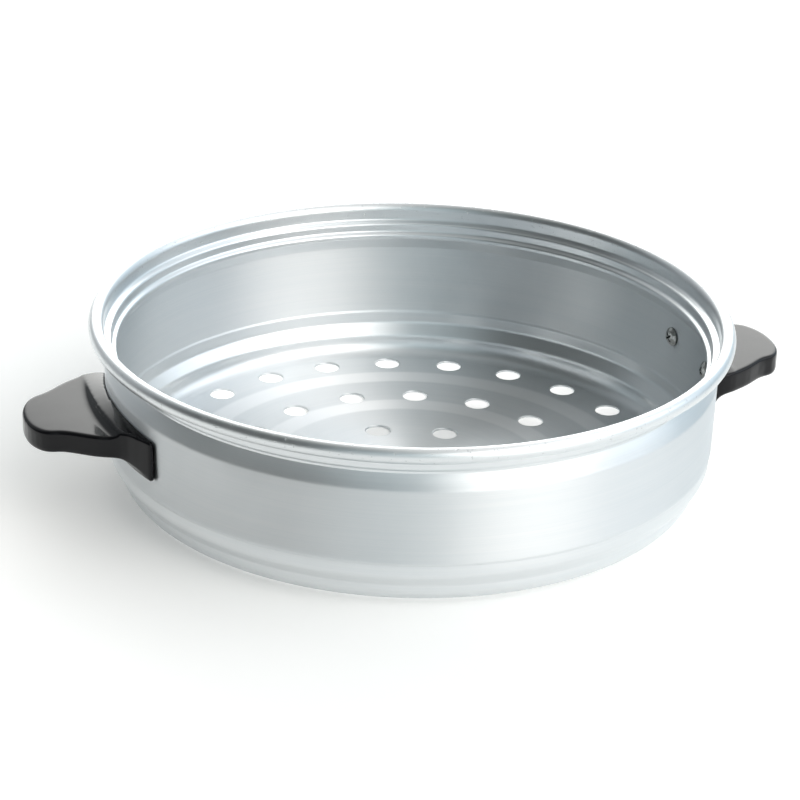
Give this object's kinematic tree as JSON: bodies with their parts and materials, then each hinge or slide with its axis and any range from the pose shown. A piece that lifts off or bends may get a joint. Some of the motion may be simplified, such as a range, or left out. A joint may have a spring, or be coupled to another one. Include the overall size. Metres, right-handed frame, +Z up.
{
  "type": "steamer basket tier",
  "caption": "Round aluminium steaming tier with a rolled rim, a stepped stacking shoulder, a perforated flat floor and black side handles screwed on through the wall.",
  "frame": {"origin": "centre of the floor's underside, on the surface that the tier stands on", "axes": "+Z up along the pan's axis, +X towards the right handle, the handles lie along X"},
  "size_m": [0.3492, 0.2866, 0.0769],
  "materials": {
    "pan_aluminium": "spun satin aluminium with a fine concentric grain, brighter on the rim and the shoulder",
    "handle_phenolic": "polished black phenolic moulding",
    "screw_steel": "plated steel, slightly dulled",
    "insert_brass": "turned brass"
  },
  "bodies": {
    "root": {"steamer_pan": "pan_aluminium", "handle_right": "handle_phenolic", "handle_left": "handle_phenolic", "screw_right_1": "screw_steel", "screw_right_2": "screw_steel", "screw_left_1": "screw_steel", "screw_left_2": "screw_steel", "insert_right_1": "insert_brass", "insert_right_2": "insert_brass", "insert_left_1": "insert_brass", "insert_left_2": "insert_brass"}
  },
  "joints": []
}
